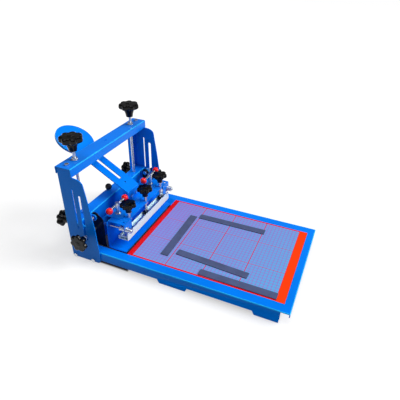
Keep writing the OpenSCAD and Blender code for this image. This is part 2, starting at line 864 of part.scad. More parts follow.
module right_grips() {
    grips(handle_x);
}

// flanged round nut along Y, flange at its rear end
module thumb_nut(x, y0, h) {
    difference() {
        union() {
            rod_y(x, y0, y0 + h, stud_z, thumb_d / 2);
            rod_y(x, y0 + h - 3, y0 + h, stud_z, thumb_d / 2 + 1);
        }
        rod_y(x, y0 - 1, y0 + h + 1, stud_z, stud_d / 2 + run_fit);
    }
}

module thumb_nuts(x) {
    color(steel) placed() {
        thumb_nut(x, bracket_front - sheet - 0.3 - 15.5, 15.5);
        thumb_nut(x, bracket_front + 0.3, 15.5);
    }
}

module left_thumb_nuts() {
    thumb_nuts(-stud_x);
}

module right_thumb_nuts() {
    thumb_nuts(stud_x);
}

module clamp_bar() {
    g0 = clamp_y - groove_w / 2;
    g1 = clamp_y + groove_w / 2;
    back = clamp_front + clamp_d;
    w = clamp_wall;
    color("#DCE6EC") placed() difference() {
        yz_plate(-clamp_hw, 2 * clamp_hw, [[clamp_front, clamp_z], [back, clamp_z],
            [back, clamp_z + 11.5], [g1 + 2.5, clamp_z + 11.5], [g1 + 2.5, clamp_top - 5],
            [g1, clamp_top - 5], [g1, groove_z], [g0, groove_z], [g0, clamp_top],
            [clamp_front, clamp_top]]);
        block([-clamp_hw - 1, clamp_front + w, clamp_z + w], [clamp_hw + 1, clamp_y - 1, groove_z - w]);
        block([-clamp_hw - 1, clamp_y + 1, clamp_z + w], [clamp_hw + 1, back - w, clamp_z + 11.5 - w]);
    }
}

module bar_feet() {
    color(black) placed() for (x = [-clamp_pitch, 0, clamp_pitch])
        translate([x, clamp_y, groove_z]) difference() {
            cylinder(d = groove_w - 0.5, h = foot_pad_h);
            translate([0, 0, 2.5]) cylinder(r = bore_r, h = foot_pad_h);
        }
}

// clamp screw with the washer under its knob
module clamp_screw(x) {
    color(steel) placed() translate([x, clamp_y, 0]) union() {
        translate([0, 0, groove_z + 2.8]) cylinder(r = screw_r, h = clamp_knob_z + 27 - groove_z - 2.8);
        translate([0, 0, clamp_knob_z - 1.5]) cylinder(r = 8.5, h = 1.5);
    }
}

module left_clamp_screw() {
    clamp_screw(-clamp_pitch);
}

module middle_clamp_screw() {
    clamp_screw(0);
}

module right_clamp_screw() {
    clamp_screw(clamp_pitch);
}

module clamp_knob(x) {
    color(black) placed() translate([x, clamp_y, clamp_knob_z])
        star_knob(clamp_knob_d, 18, 12, 15.5, screw_r + slack);
}

module left_clamp_knob() {
    clamp_knob(-clamp_pitch);
}

module middle_clamp_knob() {
    clamp_knob(0);
}

module right_clamp_knob() {
    clamp_knob(clamp_pitch);
}

base_frame();
board_supports();
platen_board();
board_screws();
grid_mat();
registration_strips();
left_upright();
right_upright();
upright_bolts();
upright_nuts();
top_bar();
bar_bolts();
bar_nuts();
cross_member();
end_plates();
side_bosses();
hinge_lugs();
carriage_nuts();
bumper_ball();
bumper_stem();
left_height_screw();
right_height_screw();
left_height_knob();
right_height_knob();
left_lock_stud();
right_lock_stud();
left_lock_knob();
right_lock_knob();
hinge_pins();
left_side_screw();
right_side_screw();
left_side_knob();
right_side_knob();
swing_frame();
head_cheeks();
slotted_arm();
arm_bolts();
fore_aft_studs();
stud_nuts();
weight_disc();
weight_bolt();
weight_nut();
screen_bracket();
bracket_nuts();
left_handle();
right_handle();
left_grips();
right_grips();
left_thumb_nuts();
right_thumb_nuts();
clamp_bar();
bar_feet();
left_clamp_screw();
middle_clamp_screw();
right_clamp_screw();
left_clamp_knob();
middle_clamp_knob();
right_clamp_knob();
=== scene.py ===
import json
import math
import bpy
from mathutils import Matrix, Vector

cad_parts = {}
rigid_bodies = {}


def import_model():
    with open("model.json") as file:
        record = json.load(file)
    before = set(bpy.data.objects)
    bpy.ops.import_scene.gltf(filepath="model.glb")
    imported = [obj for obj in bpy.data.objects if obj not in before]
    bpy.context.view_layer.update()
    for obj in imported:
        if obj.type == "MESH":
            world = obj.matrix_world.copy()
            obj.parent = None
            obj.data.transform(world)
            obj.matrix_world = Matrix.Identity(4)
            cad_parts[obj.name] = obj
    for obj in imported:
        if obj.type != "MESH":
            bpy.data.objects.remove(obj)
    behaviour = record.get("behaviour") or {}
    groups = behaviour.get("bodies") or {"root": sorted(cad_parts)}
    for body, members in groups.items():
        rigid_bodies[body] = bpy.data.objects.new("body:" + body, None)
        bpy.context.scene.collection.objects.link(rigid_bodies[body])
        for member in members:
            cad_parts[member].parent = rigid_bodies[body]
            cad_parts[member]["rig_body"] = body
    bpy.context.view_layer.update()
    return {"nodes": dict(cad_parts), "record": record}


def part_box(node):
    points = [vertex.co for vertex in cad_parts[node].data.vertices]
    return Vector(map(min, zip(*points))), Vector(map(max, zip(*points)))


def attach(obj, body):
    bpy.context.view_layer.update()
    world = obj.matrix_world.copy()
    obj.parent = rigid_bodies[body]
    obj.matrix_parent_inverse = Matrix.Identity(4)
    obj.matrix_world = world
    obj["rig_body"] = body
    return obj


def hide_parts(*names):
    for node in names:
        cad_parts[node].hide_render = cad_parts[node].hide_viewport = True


bl_info = {
    "name": "Tabletop screen printing press",
    "version": (1, 0, 0),
    "blender": (4, 5, 0),
    "location": "View3D > Sidebar > Press",
    "description": "Gives the screen printing press its paint, plastics and metals",
    "category": "Object",
}

import bpy
from bpy.props import FloatProperty, FloatVectorProperty, PointerProperty
from mathutils import Matrix, Vector

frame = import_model()
nodes = frame["nodes"]


# ---- small helpers


def linear(code):
    """Linear colour of an sRGB hex code."""
    parts = [int(code[i:i + 2], 16) / 255 for i in (1, 3, 5)]
    return tuple(c / 12.92 if c <= 0.04045 else ((c + 0.055) / 1.055) ** 2.4
                 for c in parts)


def opaque(colour, gain=1.0):
    """The colour with an alpha, made lighter or darker by gain."""
    return tuple(min(1.0, c * gain) for c in colour[:3]) + (1.0,)


def add(tree, kind, links=None, **settings):
    """Adds a node, sets its properties, and sets or links its sockets."""
    made = tree.nodes.new(kind)
    for key, value in settings.items():
        setattr(made, key, value)
    for key, value in (links or {}).items():
        if isinstance(value, bpy.types.NodeSocket):
            tree.links.new(value, made.inputs[key])
        else:
            made.inputs[key].default_value = value
    return made


def new_material(name, preview):
    """An empty node material whose viewport colour is preview."""
    made = bpy.data.materials.new(name)
    made.use_nodes = True
    made.node_tree.nodes.clear()
    made.diffuse_color = opaque(preview)
    return made


def close_material(made, surface):
    """Links the last shader to the material's output."""
    add(made.node_tree, "ShaderNodeOutputMaterial", {"Surface": surface.outputs[0]})
    return made


def only(obj):
    """Makes obj the only selected and the active object."""
    bpy.ops.object.select_all(action="DESELECT")
    obj.select_set(True)
    bpy.context.view_layer.objects.active = obj


def dress(obj, made):
    """Gives obj one material in all its slots."""
    obj.data.materials.clear()
    obj.data.materials.append(made)


def body_of_node(node):
    """Name of the body that a construction node rides on."""
    return nodes[node]["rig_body"]


def slot_of_node(node):
    """Material slot that the record gives a construction node."""
    for part in frame["record"]["subparts"]:
        if part["node"] == node:
            return part["material_slot"]
    raise RuntimeError("no slot for " + node)


def seat(obj, body, slot, *replaced):
    """Lets a finished piece ride on its body in place of the nodes it stands for."""
    only(obj)
    bpy.ops.object.transform_apply(location=True, rotation=True, scale=True)
    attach(obj, body)
    if replaced:
        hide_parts(*replaced)


# ---- materials

WHITE = (1.0, 1.0, 1.0, 1.0)

# colour sockets of a Mix node
MIX_A, MIX_B, MIX_RESULT = 6, 7, 2

# tint of what a coat of paint mirrors
PAINT_SHEEN = (0.0, 0.5, 1.0)
# the lighter edge coat, a painted highlight, mirrors a stronger cyan
EDGE_SHEEN = (0.0, 0.7, 1.0)
DARK_SHEEN = (0.5, 0.6, 1.0)

# the pitch that threads are drawn with; a Wave texture has one band every
# pi / (10 * scale) metres
DRAWN_PITCH = 0.003

# from the mat's near edge to the middle of its print area
MAT_MIDDLE = 0.222

# the mat's lines repeat at these pitches; a band stands alone
FINE_PITCH, MAIN_PITCH, SIDE_PITCH, ALONE = 0.01, 0.1, 0.302, 9.0


def powder_coat(name, colour, peel, sheen):
    # Polyester powder coat on steel sheet: deep gloss over a faint orange peel,
    # so broad highlights break up a little. The clear top of the coat tints what
    # it mirrors towards cyan. The bright cyan line on folded and cut edges is a
    # painted highlight: a lighter coat of this kind is used there.
    # Its tone drifts over about 140 mm.
    made = new_material(name, colour)
    tree = made.node_tree
    where = add(tree, "ShaderNodeTexCoord").outputs["Object"]
    drift = add(tree, "ShaderNodeTexNoise", {
        "Vector": where, "Scale": 7.0, "Detail": 3.0})
    tone = add(tree, "ShaderNodeValToRGB", {"Fac": drift.outputs["Fac"]})
    for stop, place, gain in zip(tone.color_ramp.elements, (0.3, 0.7), (0.9, 1.08)):
        stop.color = opaque(colour, gain)
        stop.position = place
    grain = add(tree, "ShaderNodeTexNoise", {
        "Vector": where, "Scale": 1 / peel, "Detail": 2.0})
    bump = add(tree, "ShaderNodeBump", {
        "Height": grain.outputs["Fac"], "Strength": 0.12, "Distance": 0.0002})
    gloss = add(tree, "ShaderNodeMapRange", {
        "Value": drift.outputs["Fac"], "From Min": 0.3, "From Max": 0.7,
        "To Min": 0.26, "To Max": 0.36})
    return close_material(made, add(tree, "ShaderNodeBsdfPrincipled", {
        "Base Color": tone.outputs["Color"], "Roughness": gloss.outputs[0],
        "Specular IOR Level": 0.4, "Specular Tint": sheen + (1.0,),
        "Normal": bump.outputs[0]}))


def zinc_plate(name, colour, axis=None):
    # Bright zinc plate on turned or pressed steel: cool white metal with a soft
    # sheen in blotches of about 11 mm. On screws the thread is drawn at 3 mm,
    # coarser than the real 1.25 mm, so that its glints show at the picture's size.
    made = new_material(name, colour)
    tree = made.node_tree
    where = add(tree, "ShaderNodeTexCoord").outputs["Object"]
    blotch = add(tree, "ShaderNodeTexNoise", {
        "Vector": where, "Scale": 90.0, "Detail": 4.0})
    tone = add(tree, "ShaderNodeValToRGB", {"Fac": blotch.outputs["Fac"]})
    for stop, gain in zip(tone.color_ramp.elements, (0.78, 1.05)):
        stop.color = opaque(colour, gain)
    rough = add(tree, "ShaderNodeMapRange", {
        "Value": blotch.outputs["Fac"], "To Min": 0.16, "To Max": 0.34})
    links = {"Base Color": tone.outputs["Color"], "Roughness": rough.outputs[0],
             "Metallic": 1.0}
    if axis:
        ridge = add(tree, "ShaderNodeTexWave", {
            "Vector": where, "Scale": math.pi / (10 * DRAWN_PITCH),
            "Distortion": 0.0}, bands_direction=axis)
        bump = add(tree, "ShaderNodeBump", {
            "Height": ridge.outputs["Fac"], "Strength": 0.6, "Distance": 0.0006})
        links["Normal"] = bump.outputs[0]
    return close_material(made, add(tree, "ShaderNodeBsdfPrincipled", links))


def moulded_plastic(name, colour, roughness, coat):
    # Moulded plastic: a hard polished skin that is almost a mirror on its round
    # lobes, with slight sink marks, about 7 mm wide, that bend the reflections.
    made = new_material(name, colour)
    tree = made.node_tree
    where = add(tree, "ShaderNodeTexCoord").outputs["Object"]
    sink = add(tree, "ShaderNodeTexNoise", {
        "Vector": where, "Scale": 140.0, "Detail": 2.0})
    tone = add(tree, "ShaderNodeValToRGB", {"Fac": sink.outputs["Fac"]})
    for stop, gain in zip(tone.color_ramp.elements, (0.85, 1.12)):
        stop.color = opaque(colour, gain)
    bump = add(tree, "ShaderNodeBump", {
        "Height": sink.outputs["Fac"], "Strength": 0.04, "Distance": 0.0005})
    shine = add(tree, "ShaderNodeMapRange", {
        "Value": sink.outputs["Fac"], "To Min": roughness * 0.8,
        "To Max": roughness * 1.2})
    return close_material(made, add(tree, "ShaderNodeBsdfPrincipled", {
        "Base Color": tone.outputs["Color"], "Roughness": shine.outputs[0],
        "Specular IOR Level": coat, "Normal": bump.outputs[0]}))


def anodised_bar(name, colour):
    # Clear anodised aluminium extrusion with fine die lines, about 1 mm apart,
    # along the bar: its front is frosted white, its grooved top is bare and
    # mirrors the plate above.
    made = new_material(name, colour)
    tree = made.node_tree
    where = add(tree, "ShaderNodeTexCoord").outputs["Object"]
    along = add(tree, "ShaderNodeMapping", {
        "Vector": where, "Scale": (4.0, 900.0, 900.0)})
    lines = add(tree, "ShaderNodeTexNoise", {
        "Vector": along.outputs[0], "Scale": 1.0, "Detail": 3.0})
    tone = add(tree, "ShaderNodeValToRGB", {"Fac": lines.outputs["Fac"]})
    for stop, gain in zip(tone.color_ramp.elements, (0.9, 1.05)):
        stop.color = opaque(colour, gain)
    bump = add(tree, "ShaderNodeBump", {
        "Height": lines.outputs["Fac"], "Strength": 0.15, "Distance": 0.0002})
    face = add(tree, "ShaderNodeSeparateXYZ", {
        "Vector": add(tree, "ShaderNodeTexCoord").outputs["Normal"]})
    bare = add(tree, "ShaderNodeMapRange", {
        "Value": face.outputs["Z"], "From Min": 0.3, "From Max": 0.7,
        "To Min": 0.05, "To Max": 0.95})
    return close_material(made, add(tree, "ShaderNodeBsdfPrincipled", {
        "Base Color": tone.outputs["Color"], "Metallic": bare.outputs[0],
        "Roughness": 0.3, "Normal": bump.outputs[0]}))


def grid_film(name, inks):
    # Screen printed vinyl film: a flat violet blue ground that pales towards the
    # operator, a fine pink grid, crimson lines every 100 mm and solid end bands.
    made = new_material(name, inks.mat_back)
    tree = made.node_tree
    near_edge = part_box("grid_mat")[0].y
    where = add(tree, "ShaderNodeTexCoord").outputs["Object"]
    centred = add(tree, "ShaderNodeMapping", {
        "Vector": where, "Location": (0.0, -near_edge - MAT_MIDDLE, 0.0)})
    split = add(tree, "ShaderNodeSeparateXYZ", {"Vector": centred.outputs[0]})
    x, y = split.outputs["X"], split.outputs["Y"]

    cloud = add(tree, "ShaderNodeTexNoise", {
        "Vector": where, "Scale": 9.0, "Detail": 2.0})
    along = add(tree, "ShaderNodeVectorMath", {
        0: centred.outputs[0], 1: (-1.0, -1.25, 0.0)}, operation="DOT_PRODUCT")
    drift = add(tree, "ShaderNodeMath", {
        0: cloud.outputs["Fac"], 1: 0.3, 2: along.outputs["Value"]},
        operation="MULTIPLY_ADD")
    pale = add(tree, "ShaderNodeMapRange", {
        "Value": drift.outputs[0], "From Min": -0.15, "From Max": 0.5})
    ground = add(tree, "ShaderNodeMix", {
        "Factor": pale.outputs[0], MIX_A: opaque(inks.mat_back),
        MIX_B: opaque(inks.mat_front)}, data_type="RGBA").outputs[MIX_RESULT]

    # stripes of a width, centred every pitch: axis, centre, pitch, width, colour
    # and strength. First the fine grid, then the main lines, the two side lines,
    # the back band and the front band.
    stripes = (
        (x, 0.0, FINE_PITCH, 0.002, inks.mat_fine, 0.55),
        (y, 0.0, FINE_PITCH, 0.002, inks.mat_fine, 0.55),
        (x, MAIN_PITCH / 2, MAIN_PITCH, 0.0018, inks.mat_line, 0.7),
        (y, 0.0, MAIN_PITCH, 0.0022, inks.mat_line, 0.95),
        (x, SIDE_PITCH / 2, SIDE_PITCH, 0.005, inks.band_back, 1.0),
        (y, 0.207, ALONE, 0.014, inks.band_back, 1.0),
        (y, -0.211, ALONE, 0.022, inks.band_front, 1.0))
    for value, centre, pitch, width, colour, strength in stripes:
        shifted = add(tree, "ShaderNodeMath", {0: value, 1: -centre}, operation="ADD")
        near = add(tree, "ShaderNodeMath", {
            0: shifted.outputs[0], 1: pitch / 2}, operation="PINGPONG")
        inside = add(tree, "ShaderNodeMath", {
            0: near.outputs[0], 1: width / 2}, operation="LESS_THAN")
        share = add(tree, "ShaderNodeMath", {
            0: inside.outputs[0], 1: strength}, operation="MULTIPLY")
        ground = add(tree, "ShaderNodeMix", {
            "Factor": share.outputs[0], MIX_A: ground, MIX_B: opaque(colour)},
            data_type="RGBA").outputs[MIX_RESULT]

    weave = add(tree, "ShaderNodeTexNoise", {
        "Vector": where, "Scale": 700.0, "Detail": 1.0})
    bump = add(tree, "ShaderNodeBump", {
        "Height": weave.outputs["Fac"], "Strength": 0.05, "Distance": 0.0001})
    return close_material(made, add(tree, "ShaderNodeBsdfPrincipled", {
        "Base Color": ground, "Roughness": 0.5, "Specular IOR Level": 0.12,
        "Normal": bump.outputs[0]}))


def matt_sheet(name, colour, grain_mm, roughness, cut=None):
    # Matt sheet or rubber: an even, soft surface with a fine cast grain and a
    # few paler scuffs, about 30 mm wide. Where a darker colour is given, the
    # sheet's sides are painted in it as painted shade.
    made = new_material(name, colour)
    tree = made.node_tree
    where = add(tree, "ShaderNodeTexCoord").outputs["Object"]
    scuff = add(tree, "ShaderNodeTexNoise", {
        "Vector": where, "Scale": 35.0, "Detail": 5.0})
    tone = add(tree, "ShaderNodeValToRGB", {"Fac": scuff.outputs["Fac"]})
    for stop, place, gain in zip(tone.color_ramp.elements, (0.35, 0.75), (0.88, 1.15)):
        stop.color = opaque(colour, gain)
        stop.position = place
    face = add(tree, "ShaderNodeSeparateXYZ", {
        "Vector": add(tree, "ShaderNodeTexCoord").outputs["Normal"]})
    # sides that face away from up take the darker colour: painted shade
    side = add(tree, "ShaderNodeMapRange", {
        "Value": face.outputs["Z"], "From Min": 0.6, "From Max": 0.2})
    skin = add(tree, "ShaderNodeMix", {
        "Factor": side.outputs[0], MIX_A: tone.outputs["Color"],
        MIX_B: opaque(cut or colour)}, data_type="RGBA")
    grain = add(tree, "ShaderNodeTexNoise", {"Vector": where, "Scale": 1000 / grain_mm})
    bump = add(tree, "ShaderNodeBump", {
        "Height": grain.outputs["Fac"], "Strength": 0.15, "Distance": 0.0002})
    return close_material(made, add(tree, "ShaderNodeBsdfPrincipled", {
        "Base Color": skin.outputs[MIX_RESULT], "Roughness": roughness,
        "Normal": bump.outputs[0]}))


def fibreboard(name, colour):
    # Medium density fibreboard: brown pressed fibre with a fine speckle, 1 to
    # 2 mm long, seen on the board's underside and edges.
    made = new_material(name, colour)
    tree = made.node_tree
    where = add(tree, "ShaderNodeTexCoord").outputs["Object"]
    fibre = add(tree, "ShaderNodeMapping", {
        "Vector": where, "Scale": (260.0, 90.0, 400.0)})
    speck = add(tree, "ShaderNodeTexNoise", {"Vector": fibre.outputs[0], "Detail": 6.0})
    tone = add(tree, "ShaderNodeValToRGB", {"Fac": speck.outputs["Fac"]})
    for stop, gain in zip(tone.color_ramp.elements, (0.7, 1.25)):
        stop.color = opaque(colour, gain)
    bump = add(tree, "ShaderNodeBump", {
        "Height": speck.outputs["Fac"], "Strength": 0.2, "Distance": 0.0003})
    return close_material(made, add(tree, "ShaderNodeBsdfPrincipled", {
        "Base Color": tone.outputs["Color"], "Roughness": 0.75,
        "Normal": bump.outputs[0]}))


# ---- rounded sheet and turned pieces

SAME_CORNER = 0.00001               # corners closer than this are one corner
FLAT_WITHIN = math.radians(0.4)     # faces that turn less than this are one face
ON_FOLD = 0.00002                   # how close a fold's ends lie to its line
SHORTEST_FOLD = 0.004               # shorter edges on the line are no fold
SHARP_FROM = math.radians(35)       # edges that turn more than this are eased
SMOOTH_WITHIN = math.radians(32)    # faces that turn less than this shade as one


def merged_copy(node, made, edge):
    """A copy of a node's mesh with whole flat faces, for two materials."""
    piece = bpy.data.objects.new("soft_" + node, nodes[node].data.copy())
    bpy.context.scene.collection.objects.link(piece)
    dress(piece, made)
    piece.data.materials.append(edge)
    only(piece)
    bpy.ops.object.mode_set(mode="EDIT")
    bpy.ops.mesh.select_mode(type="EDGE")
    bpy.ops.mesh.select_all(action="SELECT")
    bpy.ops.mesh.remove_doubles(threshold=SAME_CORNER)
    bpy.ops.mesh.dissolve_limited(angle_limit=FLAT_WITHIN, delimit=set())
    bpy.ops.mesh.select_all(action="DESELECT")
    bpy.ops.object.mode_set(mode="OBJECT")
    return piece


def round_fold(piece, fold, radius):
    """Rounds the edges on one line, such as {"x": 0.1, "z": 0.04}, along the Y axis."""
    mesh = piece.data
    found = 0
    for side in mesh.edges:
        ends = [mesh.vertices[i].co for i in side.vertices]
        on_line = all(abs(end["xyz".index(axis)] - place) < ON_FOLD
                      for end in ends for axis, place in fold.items())
        if on_line and (ends[0] - ends[1]).length > SHORTEST_FOLD:
            side.select = True
            found += 1
    if not found:
        raise RuntimeError("no fold found on " + piece.name + " at " + str(fold))
    only(piece)
    bpy.ops.object.mode_set(mode="EDIT")
    # the rounded fold takes the second material; on folded sheet that is the lighter blue
    # of a painted highlight
    bpy.ops.mesh.bevel(offset=radius, segments=4, profile=0.5, material=1)
    bpy.ops.mesh.select_all(action="DESELECT")
    bpy.ops.object.mode_set(mode="OBJECT")


def softened(node, radius, made, folds=(), fold_radius=0.0, edge=None):
    """Replaces a node by its copy with rounded folds and eased cut edges."""
    piece = merged_copy(node, made, edge or made)
    for fold in folds:
        round_fold(piece, fold, fold_radius)
    ease = piece.modifiers.new("Eased edges", "BEVEL")
    ease.width = radius
    ease.segments = 2
    # eased edges take the second material too; on folded sheet that is the painted
    # highlight
    ease.material = 1
    ease.limit_method = "ANGLE"
    ease.angle_limit = SHARP_FROM
    ease.use_clamp_overlap = True
    bpy.ops.object.modifier_apply(modifier=ease.name)
    bpy.ops.object.shade_smooth_by_angle(angle=SMOOTH_WITHIN)
    flat = piece.modifiers.new("Flat faces", "WEIGHTED_NORMAL")
    flat.keep_sharp = True
    bpy.ops.object.modifier_apply(modifier=flat.name)
    seat(piece, body_of_node(node), slot_of_node(node), node)


# ---- star knobs

LOBES = 7
LOBE_CORNERS = 12
KNOB_CORNERS = LOBES * LOBE_CORNERS

# how far the corners of a lobe are pulled in, from the valley to the lobe's tip
LOBE_PULLS = (0.8, 0.815, 0.865, 0.93, 0.972, 0.993)

# width of the head where it leaves the hub, and then each step up in shares of the
# head's height with its widening: flared underside, its rim, wall, rounded
# shoulder, flat top, the dish in it, and foot and top of the low boss
NECK = 0.42
HEAD_STEPS = ((0.3, 2.18), (0.1, 1.09), (0.3, 1.0), (0.16, 0.96), (0.08, 0.89),
              (-0.03, 0.55), (0.03, 0.6), (0.06, 0.9))

# the hub's cone: corners, width at foot and top, reach into the head, and its waist
HUB_CORNERS = 56
HUB_FOOT, HUB_TOP, HUB_REACH = 0.86, 1.28, 0.002
WAIST_HEIGHT, WAIST_WIDTH = 0.55, 0.93

KNOB_EDGE = 0.0014                      # radius of the moulded edges
KNOB_SHARP_FROM = math.radians(28)
KNOB_SMOOTH_WITHIN = math.radians(50)

# turns from +Z to the way that each knob points
QUARTER = math.radians(90)
KNOB_TURNS = {
    "up": Matrix(),
    "left": Matrix.Rotation(-QUARTER, 4, "Y") @ Matrix.Rotation(2 * QUARTER, 4, "Z"),
    "back": Matrix.Rotation(QUARTER, 4, "Z") @ Matrix.Rotation(QUARTER, 4, "Y"),
    "right": Matrix.Rotation(QUARTER, 4, "Y"),
}

# size over the lobes, radius and height of the hub, height of the head, and the
# nodes of that kind with the way that each points
KNOBS = {
    "height": (0.061, 0.012, 0.018, 0.024, {
        "left_height_knob": "up", "right_height_knob": "up"}),
    "lock": (0.048, 0.010, 0.017, 0.019, {
        "left_lock_knob": "back", "right_lock_knob": "back"}),
    "side": (0.052, 0.010, 0.011, 0.017, {
        "left_side_knob": "left", "right_side_knob": "right"}),
    "clamp": (0.046, 0.009, 0.012, 0.0185, {
        "left_clamp_knob": "up", "middle_clamp_knob": "up", "right_clamp_knob": "up"}),
}


def knob_head(name, outer, hub_h, head_h):
    """The lobed head of a knob, from hub_h upwards."""
    middle = (0, 0, hub_h)
    bpy.ops.object.select_all(action="DESELECT")
    bpy.ops.mesh.primitive_circle_add(vertices=KNOB_CORNERS, radius=outer,
                                      fill_type="NGON", location=middle)
    head = bpy.context.object
    head.name = name
    bpy.ops.object.transform_apply(location=True, rotation=True, scale=True)
    bpy.ops.object.mode_set(mode="EDIT")
    bpy.ops.mesh.select_mode(type="VERT")
    bpy.ops.object.mode_set(mode="OBJECT")
    for step, pull in enumerate(LOBE_PULLS):
        bpy.ops.object.mode_set(mode="EDIT")
        bpy.ops.mesh.select_all(action="DESELECT")
        bpy.ops.object.mode_set(mode="OBJECT")
        for vertex in head.data.vertices:
            turn = math.atan2(vertex.co.y, vertex.co.x) / math.tau * KNOB_CORNERS
            place = round(turn) % LOBE_CORNERS
            vertex.select = min(place, LOBE_CORNERS - place) == step
        bpy.ops.object.mode_set(mode="EDIT")
        bpy.ops.transform.resize(value=(pull, pull, 1.0), center_override=middle)
        bpy.ops.object.mode_set(mode="OBJECT")
    bpy.ops.object.mode_set(mode="EDIT")
    bpy.ops.mesh.select_mode(type="FACE")
    bpy.ops.mesh.select_all(action="SELECT")
    bpy.ops.transform.resize(value=(NECK, NECK, 1.0), center_override=middle)
    for rise, pull in HEAD_STEPS:
        bpy.ops.mesh.extrude_region_move(
            TRANSFORM_OT_translate={"value": (0, 0, head_h * rise)})
        bpy.ops.transform.resize(value=(pull, pull, 1.0), center_override=middle)
    bpy.ops.object.mode_set(mode="OBJECT")
    return head


def knob_hub(hub_r, hub_h):
    """The waisted hub of a knob, from the origin up into the head."""
    tall = hub_h + HUB_REACH
    bpy.ops.object.select_all(action="DESELECT")
    bpy.ops.mesh.primitive_cone_add(vertices=HUB_CORNERS, radius1=hub_r * HUB_FOOT,
                                    radius2=hub_r * HUB_TOP, depth=tall,
                                    location=(0, 0, tall / 2))
    hub = bpy.context.object
    bpy.ops.object.transform_apply(location=True, rotation=True, scale=True)
    bpy.ops.object.mode_set(mode="EDIT")
    bpy.ops.mesh.select_all(action="SELECT")
    bpy.ops.mesh.bisect(plane_co=(0, 0, hub_h * WAIST_HEIGHT), plane_no=(0, 0, 1))
    bpy.ops.transform.resize(value=(WAIST_WIDTH, WAIST_WIDTH, 1.0),
                             center_override=(0, 0, 0))
    bpy.ops.mesh.select_all(action="DESELECT")
    bpy.ops.object.mode_set(mode="OBJECT")
    return hub


def star_knob(name, size, hub_r, hub_h, head_h, made):
    """A seven lobed moulded knob along +Z, its hub starting at the origin."""
    head = knob_head(name, size / 2, hub_h, head_h)
    hub = knob_hub(hub_r, hub_h)
    hub.select_set(True)
    head.select_set(True)
    bpy.context.view_layer.objects.active = head
    bpy.ops.object.join()
    bpy.ops.object.mode_set(mode="EDIT")
    bpy.ops.mesh.select_all(action="SELECT")
    bpy.ops.mesh.normals_make_consistent(inside=False)
    bpy.ops.object.mode_set(mode="OBJECT")
    ease = head.modifiers.new("Moulded edges", "BEVEL")
    ease.width = KNOB_EDGE
    ease.segments = 3
    ease.limit_method = "ANGLE"
    ease.angle_limit = KNOB_SHARP_FROM
    bpy.ops.object.modifier_apply(modifier=ease.name)
    bpy.ops.object.shade_smooth_by_angle(angle=KNOB_SMOOTH_WITHIN)
    dress(head, made)
    return head


def place_knob(node, like, way):
    """Puts a copy of the knob like in a node's place, pointing up, back or sideways."""
    low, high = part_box(node)
    piece = bpy.data.objects.new("moulded_" + node, like.data.copy())
    bpy.context.scene.collection.objects.link(piece)
    middle = (low + high) / 2
    foot = {"up": (middle.x, middle.y, low.z),
            "back": (middle.x, low.y, middle.z),
            "left": (high.x, middle.y, middle.z),
            "right": (low.x, middle.y, middle.z)}[way]
    piece.matrix_world = Matrix.Translation(foot) @ KNOB_TURNS[way]
    bpy.context.view_layer.update()
    seat(piece, body_of_node(node), slot_of_node(node), node)


# ---- settings


def colour_property(label, about, code):
    """A colour that shows in the panel, with its hex code as the default."""
    return FloatVectorProperty(name=label, description=about, subtype="COLOR", size=3,
                               min=0.0, max=1.0, default=linear(code))


def length_property(label, about, metres):
    """A length that shows in the panel, with its default in metres."""
    return FloatProperty(name=label, description=about, unit="LENGTH",
                         subtype="DISTANCE", default=metres)


class PressColours(bpy.types.PropertyGroup):
    """Colours of the press"""
    paint: colour_property("Paint", "Powder coat of all folded sheet", "#007CF4")
    # lighter blue on every fold and cut edge: a painted highlight
    edge: colour_property("Painted edge highlight", "Lighter paint on every edge, a painted highlight",
                          "#28B0FF")
    # near black: partly the cheeks' own black finish, partly painted shade for the deep
    # shade behind the bracket's wall
    cheek_black_and_shade: colour_property("Dark paint", "Paint of the head's cheeks", "#0A0A0E")
    plastic: colour_property("Knobs", "Moulded star knobs", "#020203")
    grip: colour_property("Grips", "Ball grips of the locking handles", "#F00A12")
    rubber: colour_property("Rubber", "Ball that the raised arm rests on", "#121214")
    zinc: colour_property("Zinc", "Screws, bolts and nuts", "#DCE2E8")
    bar: colour_property("Clamp bar", "Anodised clamp bar", "#E2F8FF")
    strip: colour_property("Strips", "Loose registration strips", "#46527A")
    # near black on the strips' sides: painted shade
    strip_side_shade: colour_property("Strips, sides", "Painted shade on the strips' sides", "#0C1024")
    board: colour_property("Board", "Fibreboard under the mat", "#8A6A48")
    mat_back: colour_property("Mat, back", "Ground of the mat near the head", "#7C88D0")
    mat_front: colour_property("Mat, front", "Ground of the mat near the operator",
                               "#5CA8E0")
    mat_fine: colour_property("Fine grid", "Fine lines of the mat", "#A050B8")
    mat_line: colour_property("Main grid", "Lines every 100 mm", "#C81048")
    band_back: colour_property("Back band", "Band and side lines of the mat", "#DC0814")
    band_front: colour_property("Front band", "Band near the operator", "#FF3C00")


class PressSizes(bpy.types.PropertyGroup):
    """Sizes of the finish"""
    fold_radius: length_property("Fold radius", "Outside radius of a folded edge", 0.0022)
    cut_radius: length_property("Cut edge radius", "Easing of a cut sheet edge", 0.0008)
    small_radius: length_property("Small edge radius",
                                  "Easing of fasteners, strips and the clamp bar", 0.0004)
    peel: length_property("Orange peel", "Size of a dimple in the powder coat", 0.0018)


def colours():
    """The scene's colours of the press."""
    return bpy.context.scene.press_colours


def sizes():
    """The scene's sizes of the finish."""
    return bpy.context.scene.press_sizes


# ---- operators

# folded edges of each sheet piece, named by the two sides of its box that meet there
FOLDS = {
    "base_frame": (("z+", "y-"), ("z+", "x-"), ("z+", "x+")),
    "left_upright": (("x-", "y+"),),
    "right_upright": (("x+", "y+"),),
    "top_bar": (("z+", "y-"), ("z+", "y+")),
    "cross_member": (("z+", "y-"), ("z+", "y+")),
    "screen_bracket": (("z+", "y+"), ("z-", "y+")),
    "board_supports": (),
    "end_plates": (),
    "hinge_lugs": (),
    "swing_frame": (),
    "slotted_arm": (),
    "weight_disc": (),
}

